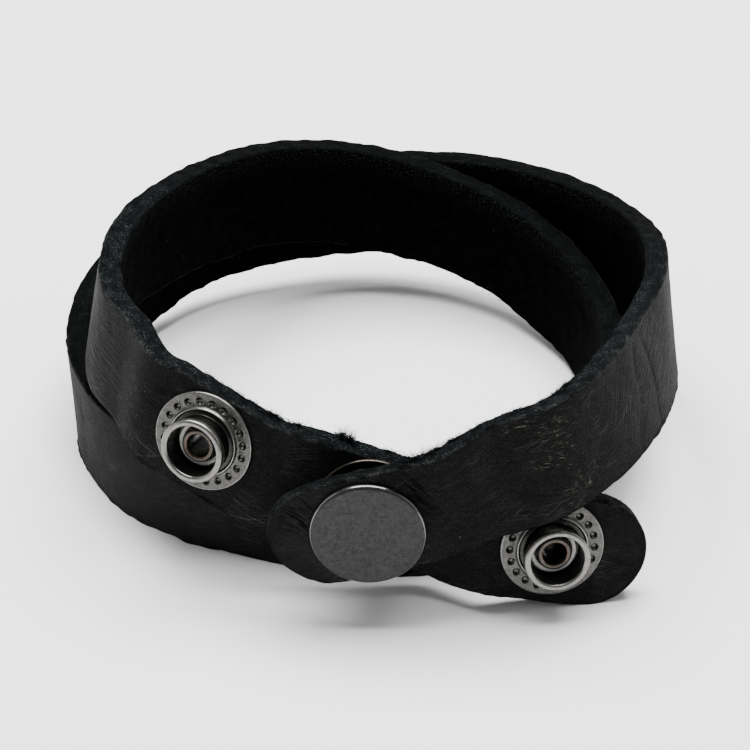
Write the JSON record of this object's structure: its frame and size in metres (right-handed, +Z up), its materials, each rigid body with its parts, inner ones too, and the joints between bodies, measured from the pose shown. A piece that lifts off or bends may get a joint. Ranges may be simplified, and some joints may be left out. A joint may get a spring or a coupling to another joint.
{
  "type": "leather wrap bracelet",
  "caption": "Leather strap wound twice into a bracelet and closed by a flat snap cap over a stud, with spare studs along the strap for other sizes.",
  "frame": {"origin": "on the floor under the middle of the bracelet's box", "axes": "+Z up along the axis the wrist goes through, -Y towards the snap, +X to the right seen from the snap"},
  "size_m": [0.0685, 0.0734, 0.0266],
  "materials": {
    "leather": "black full-grain leather, half-gloss outside and bare suede inside",
    "cap_metal": "satin gunmetal",
    "socket_metal": "gunmetal",
    "stud_metal": "satin dark nickel",
    "eyelet_metal": "dark nickel with worn warm edges"
  },
  "bodies": {
    "root": {"strap": "leather", "snap_cap": "cap_metal", "snap_socket": "socket_metal", "stud_left": "stud_metal", "stud_middle": "stud_metal", "stud_right": "stud_metal", "eyelet_left": "eyelet_metal", "eyelet_middle": "eyelet_metal", "eyelet_right": "eyelet_metal"}
  },
  "joints": []
}
